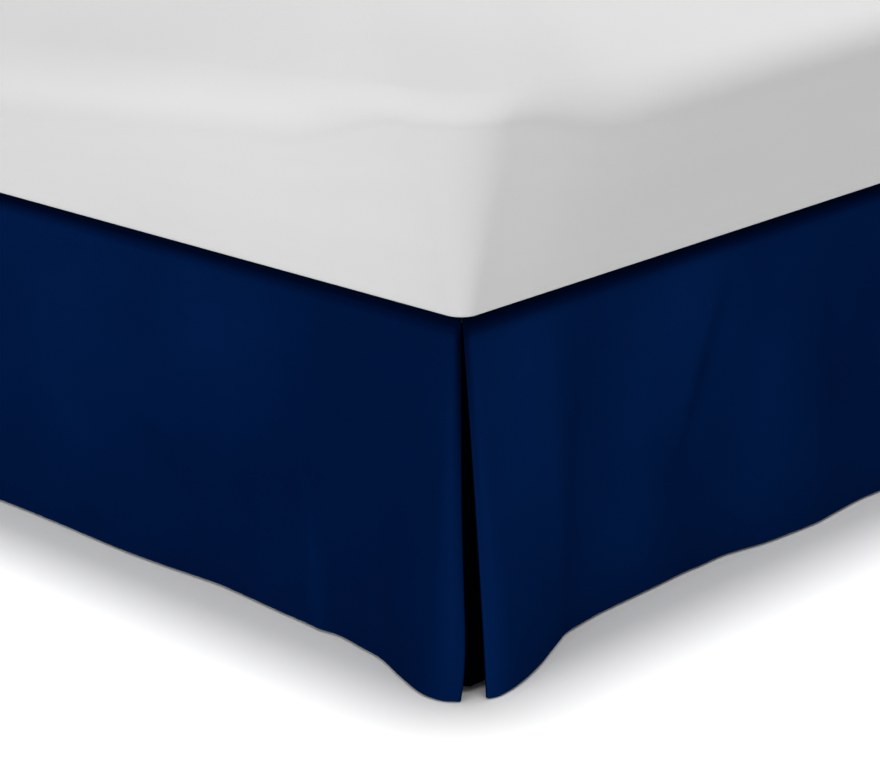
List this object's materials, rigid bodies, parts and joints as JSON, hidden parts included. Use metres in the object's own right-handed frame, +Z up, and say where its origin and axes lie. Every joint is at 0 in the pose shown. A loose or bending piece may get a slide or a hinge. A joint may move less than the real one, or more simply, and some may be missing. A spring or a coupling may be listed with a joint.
{
  "type": "bed skirt on a bed",
  "caption": "Plain tailored bed skirt with an inverted pleat at each foot corner, hung on a plain bed with mattress, box spring and metal frame.",
  "frame": {"origin": "on the floor, under the centre of the object's box", "axes": "+X across the bed, +Y along it towards the head, +Z up; the foot end is at -Y"},
  "size_m": [1.6388, 2.0895, 0.5968],
  "materials": {
    "navy_cloth": "matt brushed microfibre, deep navy",
    "mattress_cloth": "plain white woven sheeting, matt",
    "box_spring_cloth": "off-white cotton cover, matt",
    "frame_steel": "black powder coat, satin",
    "glide_plastic": "black moulded plastic"
  },
  "bodies": {
    "root": {"skirt_deck": "navy_cloth", "skirt_drop_left": "navy_cloth", "skirt_drop_foot": "navy_cloth", "skirt_drop_right": "navy_cloth", "pleat_underlay_left": "navy_cloth", "pleat_underlay_right": "navy_cloth", "mattress": "mattress_cloth", "box_spring": "box_spring_cloth", "side_rail_left": "frame_steel", "side_rail_right": "frame_steel", "cross_rail_foot": "frame_steel", "cross_rail_middle": "frame_steel", "cross_rail_head": "frame_steel", "leg_foot_left": "frame_steel", "leg_foot_centre": "frame_steel", "leg_foot_right": "frame_steel", "leg_middle_centre": "frame_steel", "leg_head_left": "frame_steel", "leg_head_centre": "frame_steel", "leg_head_right": "frame_steel", "glide_foot_left": "glide_plastic", "glide_foot_centre": "glide_plastic", "glide_foot_right": "glide_plastic", "glide_middle_centre": "glide_plastic", "glide_head_left": "glide_plastic", "glide_head_centre": "glide_plastic", "glide_head_right": "glide_plastic"}
  },
  "joints": []
}
